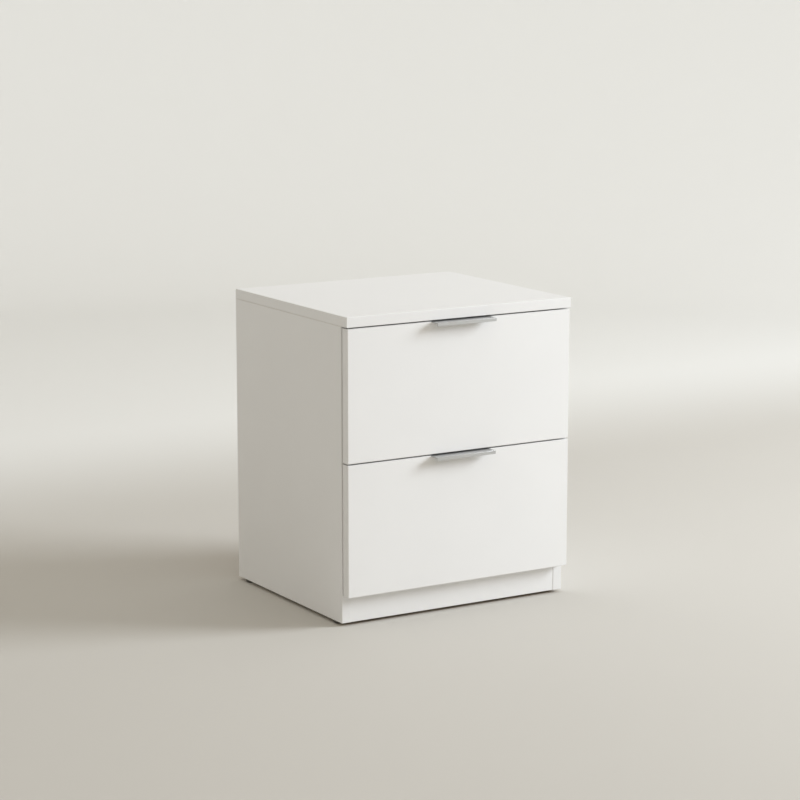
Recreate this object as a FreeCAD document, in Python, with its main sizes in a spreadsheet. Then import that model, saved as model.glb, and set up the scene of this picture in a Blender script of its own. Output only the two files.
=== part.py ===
import FreeCAD, Part
import Sketcher
import math
import os
import re

# A two-drawer nightstand of coated chipboard.  +X is to the right, +Y to the back and +Z up.
# The origin is on the floor, under the middle of the whole outline, handles included.

# Driving sizes in millimetres: the sheet's word, its value, and what it is.
SIZES = [
    ("case_width", 380, "width of the top and of the case"),
    ("case_depth", 335, "depth of the top"),
    ("case_height", 450, "floor to the top's upper face"),
    ("board", 15, "thickness of case boards and drawer fronts"),
    ("band", 1, "thickness of the edge bands"),
    ("band_round", 0.8, "rounding along the edge bands"),
    ("glide_height", 5, "floor to the underside of the sides"),
    ("glide_radius", 7, "plastic glide, outside"),
    ("glide_inset", 24, "glide centre from the side's front or rear edge"),
    ("plinth_height", 50, "plinth board"),
    ("plinth_setback", 0.5, "plinth face behind the sides' front edges"),
    ("back_thickness", 3, "hardboard back panel"),
    ("back_inset", 10, "back panel's rear face from the sides' rear edges"),
    ("groove_depth", 7, "groove that holds the back panel"),
    ("groove_slack", 0.2, "room for a panel in its groove"),
    ("front_setback", 1, "drawer front's face behind the top's front edge"),
    ("front_gap", 1, "drawer front's rear face to the case edges"),
    ("side_margin", 1.5, "drawer front narrower than the case, each side"),
    ("reveal", 2, "gap above each drawer front"),
    ("front_overlap", 10, "lower front's lower edge below the bottom panel"),
    ("cam_radius", 7.4, "cam, outside"),
    ("cam_slack", 0.1, "room round a cam"),
    ("cam_reach", 24, "joint face to the cam's centre"),
    ("cam_floor", 0.5, "cam's far end past the bolt's bore"),
    ("bolt_head_radius", 3.2, "cam bolt's head and collar"),
    ("bolt_slack", 0.3, "room round a cam bolt"),
    ("bolt_neck_radius", 2, "cam bolt's neck"),
    ("thread_radius", 2.5, "cam bolt's screwed end and the bore for it"),
    ("thread_length", 10, "cam bolt's screwed end"),
    ("dowel_radius", 4, "wooden dowel"),
    ("dowel_face", 10, "dowel's length in the board face"),
    ("dowel_edge", 20, "dowel's length in the board edge"),
    ("end_room", 1, "room past the end of a dowel or screw"),
    ("joint_inset", 50, "cam bolt from the sides' front or rear edge"),
    ("dowel_step", 32, "dowel from the cam bolt beside it"),
    ("plinth_bolt_rise", 17, "plinth's cam bolt above its lower edge"),
    ("plinth_dowel_rise", 38, "plinth's dowel above its lower edge"),
    ("runner_gap", 12.5, "case side to drawer side"),
    ("sheet", 1.2, "steel sheet of the runners"),
    ("rail_rear_gap", 3, "case rail's rear end to the back panel"),
    ("rail_setback", 2, "runner's front end behind the board edge"),
    ("rail_clear", 0.9, "case rail's flanges to the drawer rail's web"),
    ("rail_screw_first", 37, "first rail screw from the board's front edge"),
    ("rail_screw_last", 41, "last rail screw from the rail's rear end"),
    ("case_screw_radius", 2.5, "case rail screw"),
    ("case_screw_length", 11, "case rail screw"),
    ("case_screw_head_radius", 4, "case rail screw"),
    ("case_screw_head", 0.9, "height of that flat head"),
    ("channel", 21, "clear height inside the case rail"),
    ("channel_floor", -1, "case rail's running face below the drawer side's edge"),
    ("rolling_gap", 0.35, "between a roller and what it runs on"),
    ("track_gap", 1, "drawer track to the case rail's upper flange"),
    ("track_tip", 3, "drawer track's edge from the case side"),
    ("roller_chamfer", 0.8, "roller's edge"),
    ("roller_inset", 14, "case roller's centre from the sides' front edges"),
    ("drawer_roller_inset", 12, "drawer roller's centre from the box's rear end"),
    ("case_roller_radius", 9, "roller on the case rail"),
    ("case_roller_off", 3, "case roller from the case side"),
    ("drawer_roller_off", 2.5, "drawer roller from the drawer side"),
    ("axle_radius", 2.5, "riveted axle"),
    ("axle_shoulder", 4, "axle's collar and head, radius"),
    ("axle_head", 0.7, "height of the axle's head"),
    ("axle_clear", 1.5, "case axle's head to the drawer rail's web"),
    ("running_gap", 0.05, "roller bore round its axle"),
    ("end_play", 0.1, "roller's room along its axle"),
    ("box_rise", 40, "drawer side's lower edge above the front's"),
    ("box_drop", 23, "drawer side's upper edge below the front's"),
    ("box_rear_gap", 6, "drawer's rear end to the back panel"),
    ("drawer_board", 12, "drawer sides and back"),
    ("base_thickness", 3, "hardboard drawer base"),
    ("base_rise", 8, "base above the drawer side's lower edge"),
    ("base_groove", 5.5, "groove that holds the base"),
    ("box_dowel_inset", 18, "drawer's lower dowels above its base"),
    ("wood_screw_radius", 1.75, "all wood screws of the drawers"),
    ("wood_screw_head_radius", 3.5, "their heads"),
    ("box_screw_length", 30, "screw through a drawer side into the back"),
    ("box_screw_head", 2, "its head, sunk flush"),
    ("box_screw_inset", 24, "those screws from the back's upper and lower edges"),
    ("rail_wood_screw_length", 8, "screw under a drawer rail"),
    ("rail_wood_screw_head", 1.2, "its head"),
    ("handle_length", 100, "edge pull"),
    ("handle_sheet", 1.5, "thickness of its profile"),
    ("handle_reach", 15, "edge pull's tip in front of the top's front edge"),
    ("handle_lip", 5, "height of its turned-down lip"),
    ("handle_flange", 20, "height of its flange behind the front"),
    ("handle_bend", 1.2, "rounding of its outer bends"),
    ("handle_slack", 0.2, "room at each end of its notch"),
    ("handle_screw_step", 64, "between its screws"),
    ("handle_screw_drop", 12, "its screws below the front's upper edge"),
    ("handle_screw_length", 12, "its screws"),
    ("handle_screw_head", 1.8, "their heads"),
    ("nail_radius", 0.8, "back panel nail"),
    ("nail_head_radius", 2.2, "its head"),
    ("nail_head", 0.7, "height of that head"),
    ("nail_length", 20, "back panel nail under its head"),
    ("nail_margin", 45, "outer nails from the case sides"),
    ("glide_nail_radius", 1, "nail moulded into a glide"),
    ("glide_nail_length", 15, "that nail's length in the board"),
    ("glide_nail_head_radius", 3.5, "that nail's head"),
    ("glide_nail_head", 1, "height of that head"),
    ("glide_sole", 2, "plastic under that head"),
]

# Places and sizes that follow from the driving sizes.
LAYOUT = {
    "top_front": "handle_reach - (case_depth + handle_reach) / 2",
    "top_under": "case_height - board",
    "front_face": "top_front + front_setback",
    "front_rear": "front_face + board",
    "case_front": "front_rear + front_gap",
    "case_back": "top_front + case_depth",
    "case_left": "-case_width / 2",
    "case_right": "case_width / 2",
    "inner_left": "case_left + board",
    "inner_right": "case_right - board",
    "inner_width": "case_width - 2 * board",
    "side_depth": "case_back - case_front",
    "side_height": "top_under - glide_height",
    "bottom_low": "glide_height + plinth_height",
    "plinth_front_face": "case_front + plinth_setback",
    "back_front": "case_back - back_inset - back_thickness",
    "front_bottom": "bottom_low - front_overlap",
    "front_width": "case_width - 2 * side_margin",
    "front_height": "(top_under - front_bottom - 2 * reveal) / 2",
    "upper_low": "front_bottom + front_height + reveal",
    "bolt_bore": "bolt_head_radius + bolt_slack",
    "case_cam_length": "board / 2 + bolt_bore + cam_floor",
    "drawer_cam_length": "drawer_board / 2 + bolt_bore + cam_floor",
    "box_height": "front_height - box_rise - box_drop",
    "box_depth": "back_front - box_rear_gap - front_rear",
    "box_dowel_rise": "base_rise + base_thickness + box_dowel_inset",
    "box_left": "inner_left + runner_gap",
    "box_right": "inner_right - runner_gap",
    "box_inner": "inner_width - 2 * runner_gap - 2 * drawer_board",
    "box_rear": "front_rear + box_depth",
    "back_board_height": "box_height - base_rise - base_thickness",
    "track_level": "channel_floor + channel - track_gap - sheet",
    "rail_low": "channel_floor - sheet",
    "rail_length": "back_front - rail_rear_gap - case_front - rail_setback",
    "rail_flange": "runner_gap - sheet - rail_clear",
    "roller_width": "runner_gap - sheet - case_roller_off - end_play - axle_head - axle_clear",
    "rail_height": "channel + 2 * sheet",
    "drawer_roller_radius": "channel / 2 - rolling_gap",
    "drawer_roller_rise": "channel_floor + channel / 2",
    "case_roller_rise": "track_level - rolling_gap - case_roller_radius",
    "case_roller_depth": "case_front + roller_inset",
    "drawer_roller_depth": "box_rear - drawer_roller_inset",
}

WORD = re.compile(r"[a-z][a-z_]*")
AXIS = {"left": (-1, 0, 0), "right": (1, 0, 0), "front": (0, -1, 0), "rear": (0, 1, 0),
        "underside": (0, 0, -1), "top": (0, 0, 1)}
# A board's face: its sketch plane, the sketch's two axes, whether it is the far one, and
# whether a cut into the board runs along the sketch's normal.
FACES = {
    "top": ("XY_Plane", (0, 1), True, False),
    "underside": ("XY_Plane", (0, 1), False, True),
    "right": ("YZ_Plane", (1, 2), True, False),
    "left": ("YZ_Plane", (1, 2), False, True),
    "front": ("XZ_Plane", (0, 2), False, False),
    "rear": ("XZ_Plane", (0, 2), True, True),
}
NORMAL_AXIS = {"XY_Plane": 2, "YZ_Plane": 0, "XZ_Plane": 1}
HANDS = {"left": 1, "right": -1}


def expression(formula):
    """Spell a formula of sheet words as an expression on the sheet's cells."""
    def spell(match):
        word = match.group(0)
        if word in LAYOUT:
            return "(" + expression(LAYOUT[word]) + ")"
        return "Sizes." + word
    return WORD.sub(spell, formula)


def bind(item, name, formula):
    item.setExpression(name, expression(formula))


def put(item, place):
    """Tie an object's place to three formulas."""
    for axis, formula in zip("xyz", place):
        bind(item, "Placement.Base." + axis, formula)


def shifted(point, direction, distance):
    """Three formulas moved by a distance along a row axis."""
    moved = list(point)
    for index, sign in enumerate(direction):
        if sign:
            moved[index] = f"{point[index]} {'+' if sign > 0 else '-'} ({distance})"
    return tuple(moved)


def make_sheet(doc):
    sheet = doc.addObject("Spreadsheet::Sheet", "Sizes")
    for row, (word, value, meaning) in enumerate(SIZES, 1):
        sheet.set(f"A{row}", meaning)
        sheet.set(f"B{row}", str(value))
        sheet.setAlias(f"B{row}", word)
    doc.recompute()
    return sheet


def new_body(doc, label, place=("0", "0", "0")):
    body = doc.addObject("PartDesign::Body", label)
    body.Label = label
    put(body, place)
    return body


def origin_part(body, role):
    return next(item for item in body.Origin.OriginFeatures if item.Role == role)


def add_sketch(body, role, offset="0"):
    """A sketch on one of the body's own origin planes, moved along the plane's normal."""
    sketch = body.newObject("Sketcher::SketchObject", body.Label + "_sketch")
    sketch.AttachmentSupport = [(origin_part(body, role), "")]
    sketch.MapMode = "FlatFace"
    bind(sketch, "AttachmentOffset.Base.z", offset)
    return sketch


def pin_down(sketch, curve, end, start, across, up):
    """Hold a curve's end or centre at a measured distance from the sketch's origin."""
    for kind, value, formula in (("DistanceX", start.x, across), ("DistanceY", start.y, up)):
        number = sketch.addConstraint(Sketcher.Constraint(kind, -1, 1, curve, end, value))
        bind(sketch, f"Constraints[{number}]", formula)


def draw_outline(sketch, points):
    """A closed outline of straight lines through points given as pairs of formulas."""
    count = len(points)
    ring = []
    for index in range(count):
        turn = 2 * math.pi * index / count
        ring.append(FreeCAD.Vector(10 * math.cos(turn), 10 * math.sin(turn), 0))
    for index in range(count):
        sketch.addGeometry(Part.LineSegment(ring[index], ring[(index + 1) % count]), False)
    for index in range(count):
        sketch.addConstraint(Sketcher.Constraint("Coincident", index, 2, (index + 1) % count, 1))
    for index, (across, up) in enumerate(points):
        pin_down(sketch, index, 1, ring[index], across, up)


def draw_rectangle(sketch, left, low, width, height):
    right = f"{left} + ({width})"
    high = f"{low} + ({height})"
    draw_outline(sketch, [(left, low), (right, low), (right, high), (left, high)])


def draw_circles(sketch, centres, radius):
    for index, (across, up) in enumerate(centres):
        start = FreeCAD.Vector(10 * index + 5, 5, 0)
        sketch.addGeometry(Part.Circle(start, FreeCAD.Vector(0, 0, 1), 1), False)
        number = sketch.addConstraint(Sketcher.Constraint("Radius", index, 1))
        bind(sketch, f"Constraints[{number}]", radius)
        pin_down(sketch, index, 3, start, across, up)


def add_pad(body, sketch, length, backwards=False):
    pad = body.newObject("PartDesign::Pad", body.Label + "_pad")
    pad.Profile = sketch
    pad.Reversed = backwards
    bind(pad, "Length", length)
    return pad


def add_pocket(body, sketch, depth, along_normal):
    pocket = body.newObject("PartDesign::Pocket", body.Label + "_pocket")
    pocket.Profile = sketch
    pocket.Reversed = along_normal
    bind(pocket, "Length", depth)
    return pocket


def add_turning(body, profile, axis="Z_Axis", role="XZ_Plane"):
    """Turn an outline about one of the body's own axes."""
    sketch = add_sketch(body, role)
    draw_outline(sketch, profile)
    turning = body.newObject("PartDesign::Revolution", body.Label + "_turning")
    turning.Profile = sketch
    turning.ReferenceAxis = (origin_part(body, axis), [""])
    turning.Angle = 360


def edge_names(shape, chosen):
    return [f"Edge{number}" for number, edge in enumerate(shape.Edges, 1) if chosen(edge)]


def runs_along(edge, axis):
    return abs(abs(edge.tangentAt(edge.FirstParameter)[axis]) - 1) < 1e-6


class Board:
    """A rectangular board, measured from its lower front left corner.

    Bores and slots are given in the whole object's coordinates, so that the two boards of a
    joint are drilled from the same formulas.
    """

    def __init__(self, doc, label, place, size):
        self.place = place
        self.size = size
        self.body = new_body(doc, label, place)
        sketch = add_sketch(self.body, "XY_Plane")
        draw_rectangle(sketch, "0", "0", size[0], size[1])
        add_pad(self.body, sketch, size[2])

    def face_sketch(self, face):
        role, axes, far, along_normal = FACES[face]
        offset = "0"
        if far:
            offset = self.size[NORMAL_AXIS[role]]
        if far and role == "XZ_Plane":
            offset = f"-({offset})"
        return add_sketch(self.body, role, offset)

    def local(self, point, axis):
        return f"{point[axis]} - ({self.place[axis]})"

    def bore(self, face, points, radius, depth):
        """Round blind holes with their mouths on one face."""
        sketch = self.face_sketch(face)
        across, up = FACES[face][1]
        draw_circles(sketch, [(self.local(p, across), self.local(p, up)) for p in points], radius)
        add_pocket(self.body, sketch, depth, FACES[face][3])

    def slot(self, face, low, width, height, depth):
        """A rectangular recess in one face, from its low corner."""
        sketch = self.face_sketch(face)
        across, up = FACES[face][1]
        draw_rectangle(sketch, self.local(low, across), self.local(low, up), width, height)
        add_pocket(self.body, sketch, depth, FACES[face][3])


def block(doc, name, place, size):
    box = doc.addObject("Part::Box", name)
    for side, formula in zip(("Length", "Width", "Height"), size):
        bind(box, side, formula)
    put(box, place)
    return box


def boolean(doc, kind, name, base, tool):
    result = doc.addObject("Part::" + kind, name)
    result.Base = base
    result.Tool = tool
    return result


def rounded(doc, name, base, chosen):
    """Round the chosen edges of a block by the sheet's edge rounding."""
    doc.recompute()
    radius = doc.Sizes.get("band_round")
    fillet = doc.addObject("Part::Fillet", name)
    fillet.Base = base
    numbers = [number for number, edge in enumerate(base.Shape.Edges, 1) if chosen(edge)]
    fillet.Edges = [(number, radius, radius) for number in numbers]
    return fillet


def group(doc, label, members):
    compound = doc.addObject("Part::Compound", label)
    compound.Label = label
    compound.Links = members
    return compound


def edge_bands(doc, label, place, size, thin, notch=None):
    """Bands glued round a board's four narrow sides, as separate strips.

    thin is the axis through the board's thickness.  The whole board is rounded first, its
    inside is taken out, and the ring that is left is shared out between the four strips.
    """
    whole = block(doc, label + "_whole", place, size)
    whole = rounded(doc, label + "_rounded", whole, lambda edge: not runs_along(edge, thin))
    other = 3 - thin
    inner_place = list(place)
    inner_size = list(size)
    for axis in (0, other):
        inner_place[axis] = f"{place[axis]} + band"
        inner_size[axis] = f"{size[axis]} - 2 * band"
    ring = boolean(doc, "Cut", label + "_ring", whole,
                   block(doc, label + "_inside", inner_place, inner_size))
    if notch:
        ring = boolean(doc, "Cut", label + "_notched", ring, block(doc, label + "_notch", *notch))
    strips = []
    for axis, shared in ((other, place), (0, inner_place)):
        span = list(size if axis == other else inner_size)
        span[axis] = "band"
        for far in (False, True):
            low = list(shared)
            low[axis] = f"{place[axis]} + {size[axis]} - band" if far else place[axis]
            region = block(doc, f"{label}_region", low, span)
            strips.append(boolean(doc, "Common", f"{label}_strip", ring, region))
    return group(doc, label, strips)


def front_strip(doc, name, place, size, length_axis):
    """One band on a board's front edge, its two long front edges rounded."""
    strip = block(doc, name, place, size)
    doc.recompute()
    front = strip.Shape.BoundBox.YMin

    def on_front(edge):
        return runs_along(edge, length_axis) and abs(edge.CenterOfMass.y - front) < 1e-6
    return rounded(doc, name + "_rounded", strip, on_front)


def facing(direction, roll=None):
    """The turn that points a part's own +Z one way and, if given, its own +X another."""
    z_axis = FreeCAD.Vector(*direction)
    if roll is None:
        return FreeCAD.Rotation(FreeCAD.Vector(0, 0, 1), z_axis)
    x_axis = FreeCAD.Vector(*roll)
    return FreeCAD.Rotation(x_axis, z_axis.cross(x_axis), z_axis, "ZXY")


def copies(doc, pattern, label, places):
    """A group of copies of one fastener, each at three formulas and a turn."""
    links = []
    for point, turn in places:
        link = doc.addObject("App::Link", label + "_copy")
        link.LinkedObject = pattern
        link.Placement = FreeCAD.Placement(FreeCAD.Vector(), turn)
        put(link, point)
        links.append(link)
    return group(doc, label, links)


def cross_recess(body, level, reach, width, depth):
    """A cross cut down into the top of a head."""
    for across, up in ((reach, width), (width, reach)):
        sketch = add_sketch(body, "XY_Plane", level)
        draw_rectangle(sketch, f"-({across})", f"-({up})", f"2 * {across}", f"2 * {up}")
        add_pocket(body, sketch, depth, False)


def screw(doc, label, radius, length, head_radius, head):
    """A round-headed screw: its head stands on the level of zero and its shank hangs down."""
    body = new_body(doc, label)
    tip = f"{radius} * 0.4"
    add_turning(body, [("0", f"-({length})"), (tip, f"-({length})"), (radius, f"-({length}) + {radius}"),
                       (radius, "0"), (head_radius, "0"), (head_radius, f"{head} * 0.5"),
                       (f"{head_radius} * 0.8", head), ("0", head)])
    cross_recess(body, head, f"{head_radius} * 0.5", f"{head_radius} * 0.12", f"{head} * 0.6")
    return body


def nail(doc, label, radius, length, head_radius, head):
    body = new_body(doc, label)
    add_turning(body, [("0", f"-({length})"), (radius, f"-({length}) + 2 * {radius}"),
                       (radius, "0"), (head_radius, "0"), (head_radius, head), ("0", head)])
    return body


def dowel(doc):
    """A beech dowel, its middle mark on the joint face and its long end up."""
    body = new_body(doc, "dowel_pattern")
    waist = "dowel_radius * 0.8"
    taper = "dowel_radius * 0.25"
    add_turning(body, [("0", "-dowel_face"), (waist, "-dowel_face"),
                       ("dowel_radius", f"-dowel_face + {taper}"),
                       ("dowel_radius", f"dowel_edge - {taper}"),
                       (waist, "dowel_edge"), ("0", "dowel_edge")])
    return body


def cam_bolt(doc):
    """A cam bolt that is screwed in below zero and reaches up to the cam's centre."""
    body = new_body(doc, "cam_bolt_pattern")
    collar_end = "cam_reach - cam_radius - 1"
    head_start = "cam_reach - bolt_neck_radius"
    add_turning(body, [("0", "-thread_length"), ("thread_radius * 0.4", "-thread_length"),
                       ("thread_radius", "-thread_length + thread_radius"), ("thread_radius", "0"),
                       ("bolt_head_radius", "0"), ("bolt_head_radius", collar_end),
                       ("bolt_neck_radius", collar_end), ("bolt_neck_radius", head_start),
                       ("bolt_head_radius", head_start), ("bolt_head_radius", "cam_reach + 1"),
                       ("0", "cam_reach + bolt_neck_radius")])
    return body


def cam(doc, label, length, thickness):
    """A cam with its face at zero, its body below, and its hollow open towards its own -X."""
    body = new_body(doc, label)
    disc = add_sketch(body, "XY_Plane")
    draw_circles(disc, [("0", "0")], "cam_radius")
    add_pad(body, disc, length, True)
    hollow = add_sketch(body, "YZ_Plane", "bolt_head_radius + 1")
    draw_circles(hollow, [("0", f"-{thickness} / 2")], "bolt_bore")
    add_pocket(body, hollow, "2 * cam_radius", False)
    cross_recess(body, "0", "cam_radius * 0.55", "cam_radius * 0.12", "1.5")
    return body


class Joinery:
    """The dowels, cam bolts and cams of one body, and the bores that they need."""

    def __init__(self):
        self.dowels = []
        self.bolts = []
        self.cams = []

    def dowel_joint(self, face_board, face, edge_board, edge, points, direction):
        """Dowels from the face of one board into the edge of another."""
        face_board.bore(face, points, "dowel_radius", "dowel_face + end_room")
        edge_board.bore(edge, points, "dowel_radius", "dowel_edge + end_room")
        for point in points:
            self.dowels.append((point, facing(AXIS[direction])))

    def cam_joint(self, face_board, face, edge_board, edge, points, direction,
                  cam_face, cam_length, thickness):
        """Cam bolts in the face of one board, and cams in the board whose edge meets it."""
        centres = []
        for point in points:
            centre = shifted(point, AXIS[direction], "cam_reach")
            centres.append(shifted(centre, AXIS[cam_face], f"{thickness} / 2"))
        face_board.bore(face, points, "thread_radius", "thread_length + end_room")
        edge_board.bore(edge, points, "bolt_bore", "cam_reach + bolt_neck_radius")
        edge_board.bore(cam_face, centres, "cam_radius + cam_slack", f"{cam_length} + cam_slack")
        for point, centre in zip(points, centres):
            self.bolts.append((point, facing(AXIS[direction])))
            self.cams.append((centre, facing(AXIS[cam_face], AXIS[direction])))


def roller(doc, label, place, radius):
    """A nylon roller, turned about its own X axis from its left face."""
    body = new_body(doc, label, place)
    bore = "axle_radius + running_gap"
    shoulder = f"{radius} - roller_chamfer"
    add_turning(body, [("0", bore), ("0", shoulder), ("roller_chamfer", radius),
                       ("roller_width - roller_chamfer", radius), ("roller_width", shoulder),
                       ("roller_width", bore)], "X_Axis", "XY_Plane")
    return body


def axle(doc, label, off):
    """A riveted axle that starts flush with the back of its rail's web."""
    body = new_body(doc, label)
    near = f"{off} - end_play"
    far = f"{off} + roller_width + end_play"
    add_turning(body, [("0", "0"), ("axle_radius", "0"), ("axle_radius", "sheet"),
                       ("axle_shoulder", "sheet"), ("axle_shoulder", near), ("axle_radius", near),
                       ("axle_radius", far), ("axle_shoulder", far),
                       ("axle_shoulder", f"{far} + axle_head"), ("0", f"{far} + axle_head")])
    return body


def mirrored(points, sign):
    return [(across if sign > 0 else f"-({across})", up) for across, up in points]


def rail_holes(body, role, centres, radius, depth, offset, along_normal):
    sketch = add_sketch(body, role, offset)
    draw_circles(sketch, centres, radius)
    add_pocket(body, sketch, depth, along_normal)


def make_case_boards(doc):
    side_place = "case_front + band"
    boards = {
        "top_panel": Board(
            doc, "top_panel", ("case_left + band", "top_front + band", "top_under"),
            ("case_width - 2 * band", "case_depth - 2 * band", "board")),
        "side_panel_left": Board(
            doc, "side_panel_left", ("case_left", side_place, "glide_height"),
            ("board", "side_depth - band", "side_height")),
        "side_panel_right": Board(
            doc, "side_panel_right", ("inner_right", side_place, "glide_height"),
            ("board", "side_depth - band", "side_height")),
        "bottom_panel": Board(
            doc, "bottom_panel", ("inner_left", side_place, "bottom_low"),
            ("inner_width", "back_front - case_front - band", "board")),
        "plinth_front": Board(
            doc, "plinth_front", ("inner_left", "plinth_front_face", "glide_height"),
            ("inner_width", "board", "plinth_height")),
        "back_panel": Board(
            doc, "back_panel",
            ("inner_left - groove_depth + groove_slack", "back_front", "bottom_low"),
            ("inner_width + 2 * groove_depth - 2 * groove_slack", "back_thickness",
             "top_under + groove_depth - groove_slack - bottom_low")),
    }
    return boards


def groove_case(boards):
    """Grooves that hold the back panel in the sides and in the top."""
    width = "back_thickness + groove_slack"
    for hand, face in (("left", "right"), ("right", "left")):
        side = boards["side_panel_" + hand]
        side.slot(face, ("0", "back_front", "glide_height"), width, "side_height", "groove_depth")
    low = ("inner_left - groove_depth", "back_front", "0")
    boards["top_panel"].slot("underside", low, "inner_width + 2 * groove_depth", width,
                             "groove_depth")


def join_case(boards):
    """Cam and dowel joints of the top, the bottom and the plinth with the two sides."""
    joinery = Joinery()
    bolt_rows = ("case_front + joint_inset", "case_back - joint_inset")
    dowel_rows = ("case_front + joint_inset + dowel_step", "case_back - joint_inset - dowel_step")
    plinth_middle = "plinth_front_face + board / 2"
    for hand, inner_face, inner, middle in (
            ("left", "right", "inner_left", "case_left + board / 2"),
            ("right", "left", "inner_right", "case_right - board / 2")):
        side = boards["side_panel_" + hand]
        top, bottom, plinth = (boards[name] for name in ("top_panel", "bottom_panel", "plinth_front"))
        joinery.cam_joint(top, "underside", side, "top", [(middle, row, "top_under") for row in bolt_rows],
                          "underside", inner_face, "case_cam_length", "board")
        joinery.dowel_joint(top, "underside", side, "top",
                            [(middle, row, "top_under") for row in dowel_rows], "underside")
        level = "bottom_low + board / 2"
        joinery.cam_joint(side, inner_face, bottom, hand, [(inner, row, level) for row in bolt_rows],
                          inner_face, "underside", "case_cam_length", "board")
        joinery.dowel_joint(side, inner_face, bottom, hand,
                            [(inner, row, level) for row in dowel_rows], inner_face)
        joinery.cam_joint(side, inner_face, plinth, hand,
                          [(inner, plinth_middle, "glide_height + plinth_bolt_rise")],
                          inner_face, "rear", "case_cam_length", "board")
        joinery.dowel_joint(side, inner_face, plinth, hand,
                            [(inner, plinth_middle, "glide_height + plinth_dowel_rise")], inner_face)
    return joinery


def nail_back(doc, boards):
    """Nails through the back panel into the bottom panel's rear edge."""
    level = "bottom_low + board / 2"
    points = []
    for place in ("inner_left + nail_margin", "0", "inner_right - nail_margin"):
        points.append((place, "back_front", level))
    boards["back_panel"].bore("front", points, "nail_radius", "back_thickness")
    boards["bottom_panel"].bore("rear", points, "nail_radius", "nail_length - back_thickness")
    pattern = nail(doc, "back_nail_pattern", "nail_radius", "nail_length", "nail_head_radius",
                   "nail_head")
    heads = [shifted(point, AXIS["rear"], "back_thickness") for point in points]
    return copies(doc, pattern, "back_panel_nails", [(head, facing(AXIS["rear"])) for head in heads])


def glide(doc):
    """A plastic glide moulded round the head of its nail."""
    body = new_body(doc, "glide_pattern")
    head_top = "glide_sole + glide_nail_head"
    add_turning(body, [("0", "0"), ("glide_radius - 1", "0"), ("glide_radius", "1"),
                       ("glide_radius", "glide_height"), ("glide_nail_radius", "glide_height"),
                       ("glide_nail_radius", head_top), ("glide_nail_head_radius", head_top),
                       ("glide_nail_head_radius", "glide_sole"), ("0", "glide_sole")])
    return body


def glide_nail(doc):
    body = new_body(doc, "glide_nail_pattern")
    head_top = "glide_sole + glide_nail_head"
    tip = "glide_height + glide_nail_length"
    add_turning(body, [("0", "glide_sole"), ("glide_nail_head_radius", "glide_sole"),
                       ("glide_nail_head_radius", head_top), ("glide_nail_radius", head_top),
                       ("glide_nail_radius", f"{tip} - 2 * glide_nail_radius"), ("0", tip)])
    return body


def make_glides(doc, boards):
    places = []
    for hand, middle in (("left", "case_left + board / 2"), ("right", "case_right - board / 2")):
        points = [(middle, "case_front + glide_inset", "0"), (middle, "case_back - glide_inset", "0")]
        boards["side_panel_" + hand].bore("underside", points, "glide_nail_radius",
                                          "glide_nail_length")
        places += [(point, facing(AXIS["top"])) for point in points]
    return [copies(doc, glide(doc), "glides", places),
            copies(doc, glide_nail(doc), "glide_nails", places)]


def case_bands(doc):
    """Bands on the front edges of the two sides and of the bottom panel."""
    strips = []
    for hand, left in (("left", "case_left"), ("right", "inner_right")):
        strips.append(front_strip(doc, "side_band_" + hand, (left, "case_front", "glide_height"),
                                  ("board", "band", "side_height"), 2))
    strips.append(front_strip(doc, "bottom_band", ("inner_left", "case_front", "bottom_low"),
                              ("inner_width", "band", "board"), 0))
    return group(doc, "case_edge_bands", strips)


def make_case_rails(doc, boards, level, low):
    """The two case rails of one drawer, with the places of their screws and axles."""
    rails = []
    screws = []
    axles = []
    rise = f"{low} + box_rise"
    profile = [("0", "0"), ("rail_flange", "0"), ("rail_flange", "sheet"), ("sheet", "sheet"),
               ("sheet", "rail_height - sheet"), ("rail_flange", "rail_height - sheet"),
               ("rail_flange", "rail_height"), ("0", "rail_height")]
    middle = f"{rise} + rail_low + rail_height / 2"
    axle_level = f"{rise} + case_roller_rise"
    for hand, wall, inner_face in (("left", "inner_left", "right"), ("right", "inner_right", "left")):
        place = (wall, "case_front + rail_setback", f"{rise} + rail_low")
        body = new_body(doc, f"case_rail_{hand}_{level}", place)
        section = add_sketch(body, "XZ_Plane")
        draw_outline(section, mirrored(profile, HANDS[hand]))
        add_pad(body, section, "rail_length", True)
        rows = ("rail_screw_first", "rail_setback + rail_length - rail_screw_last")
        holes = [(f"{row} - rail_setback", "rail_height / 2") for row in rows]
        rail_holes(body, "YZ_Plane", holes, "case_screw_radius", "sheet", "0", hand == "left")
        pin = [("roller_inset - rail_setback", "case_roller_rise - rail_low")]
        rail_holes(body, "YZ_Plane", pin, "axle_radius", "sheet", "0", hand == "left")
        points = [(wall, f"case_front + {row}", middle) for row in rows]
        boards["side_panel_" + hand].bore(inner_face, points, "case_screw_radius",
                                          "case_screw_length - sheet + end_room")
        for point in points:
            screws.append((shifted(point, AXIS[inner_face], "sheet"), facing(AXIS[inner_face])))
        axles.append(((wall, "case_roller_depth", axle_level), facing(AXIS[inner_face])))
        rails.append(body)
    return rails, screws, axles


def make_case_rollers(doc, level, low):
    rollers = []
    for hand, start in (("left", "inner_left + case_roller_off"),
                        ("right", "inner_right - case_roller_off - roller_width")):
        place = (start, "case_roller_depth", f"{low} + box_rise + case_roller_rise")
        rollers.append(roller(doc, f"case_roller_{hand}_{level}", place, "case_roller_radius"))
    return rollers


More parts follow.
